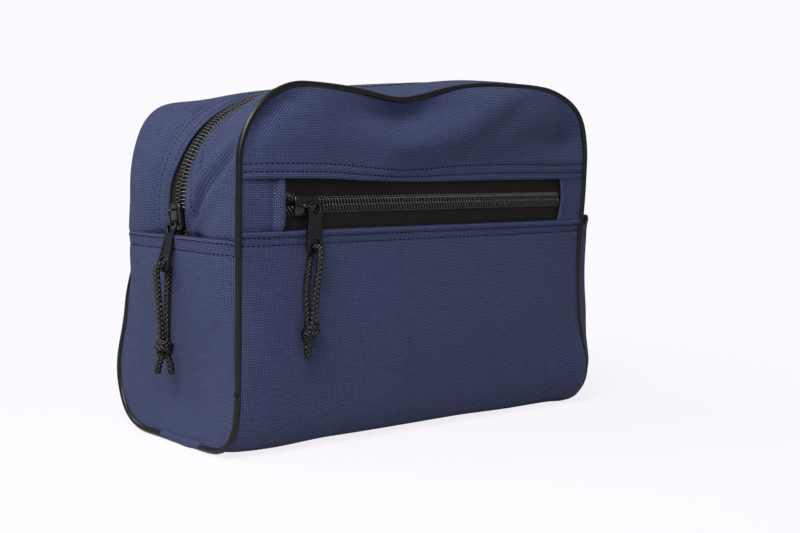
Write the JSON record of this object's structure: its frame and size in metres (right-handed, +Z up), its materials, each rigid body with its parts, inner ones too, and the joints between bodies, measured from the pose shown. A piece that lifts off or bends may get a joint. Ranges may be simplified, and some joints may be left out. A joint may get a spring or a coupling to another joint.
{
  "type": "zipped carrying bag",
  "caption": "Soft box-shaped carrying bag with a zip over the top, a zipped front pocket, piped seams, rounded corners and corded zip pulls.",
  "frame": {"origin": "middle of the bag's base, on the surface that it stands on", "axes": "+X to the right along the bag's width seen from its pocket side, +Y from the pocket side to the back, +Z up"},
  "size_m": [0.2682, 0.1253, 0.1927],
  "materials": {
    "navy_cloth": "navy 600 denier plain woven polyester with a soft sheen",
    "pocket_cloth": "thin black lining cloth",
    "zip_tape": "black knitted zip tape",
    "nylon_teeth": "black nylon coil with a soft shine",
    "black_piping": "smooth black vinyl over a round core",
    "seam_binding": "black woven binding tape",
    "black_slider": "zinc die casting with black paint",
    "black_pull_tab": "zinc die casting with black paint, worn bright at its edges",
    "braided_cord": "black braided polyester cord"
  },
  "bodies": {
    "bag": {"body_wrap": "navy_cloth", "side_panel_left": "navy_cloth", "side_panel_right": "navy_cloth", "zip_gusset_back": "navy_cloth", "zip_gusset_front_end_left": "navy_cloth", "zip_gusset_front_end_right": "navy_cloth", "pocket_lining": "pocket_cloth", "pocket_end_strip_left": "navy_cloth", "pocket_end_strip_right": "navy_cloth", "pocket_tape_upper": "zip_tape", "pocket_tape_lower": "zip_tape", "pocket_teeth_upper": "nylon_teeth", "pocket_teeth_lower": "nylon_teeth", "main_tape_back": "zip_tape", "main_teeth_back": "nylon_teeth", "main_tape_front_ends": "zip_tape", "main_teeth_front_ends": "nylon_teeth", "piping_loop": "black_piping", "piping_joint_cover": "navy_cloth", "seam_binding_loop": "seam_binding"},
    "front_flap": {"front_top_band": "navy_cloth", "zip_gusset_front": "navy_cloth", "main_tape_front": "zip_tape", "main_teeth_front": "nylon_teeth", "piping_front": "black_piping", "seam_binding_front": "seam_binding"},
    "main_slider": {"main_slider": "black_slider"},
    "main_pull_tab": {"main_pull_tab": "black_pull_tab"},
    "main_pull_cord": {"main_pull_cord": "braided_cord"},
    "pocket_slider": {"pocket_slider": "black_slider"},
    "pocket_pull_tab": {"pocket_pull_tab": "black_pull_tab"},
    "pocket_pull_cord": {"pocket_pull_cord": "braided_cord"}
  },
  "joints": [
    {"name": "front_flap_fold", "type": "hinge", "parent": "bag", "child": "front_flap", "pos_m": [0, -0.052, 0.1365], "axis": [1, 0, 0], "range_deg": [0, 40]},
    {"name": "main_slider_travel", "type": "hinge", "parent": "bag", "child": "main_slider", "pos_m": [-0.0654, 0, 0.121], "axis": [0, 1, 0], "range_deg": [0, 94], "deforming": ["main_teeth_back", "main_teeth_front", "main_teeth_front_ends"]},
    {"name": "main_tab_swing", "type": "hinge", "parent": "main_slider", "child": "main_pull_tab", "pos_m": [-0.12835, 0, 0.11402], "axis": [0, 1, 0], "range_deg": [0, 110]},
    {"name": "main_cord_swing", "type": "hinge", "parent": "main_pull_tab", "child": "main_pull_cord", "pos_m": [-0.13447, 0, 0.08947], "axis": [0, 1, 0], "range_deg": [0, 60]},
    {"name": "pocket_slider_travel", "type": "slide", "parent": "bag", "child": "pocket_slider", "axis": [1, 0, 0], "range_m": [0, 0.178], "deforming": ["pocket_teeth_upper", "pocket_teeth_lower"]},
    {"name": "pocket_tab_swing", "type": "hinge", "parent": "pocket_slider", "child": "pocket_pull_tab", "pos_m": [-0.08115, -0.0553, 0.12395], "axis": [0, -1, 0], "range_deg": [-30, 90]},
    {"name": "pocket_cord_swing", "type": "hinge", "parent": "pocket_pull_tab", "child": "pocket_pull_cord", "pos_m": [-0.08115, -0.05857, 0.10071], "axis": [-1, 0, 0], "range_deg": [0, 90]}
  ]
}
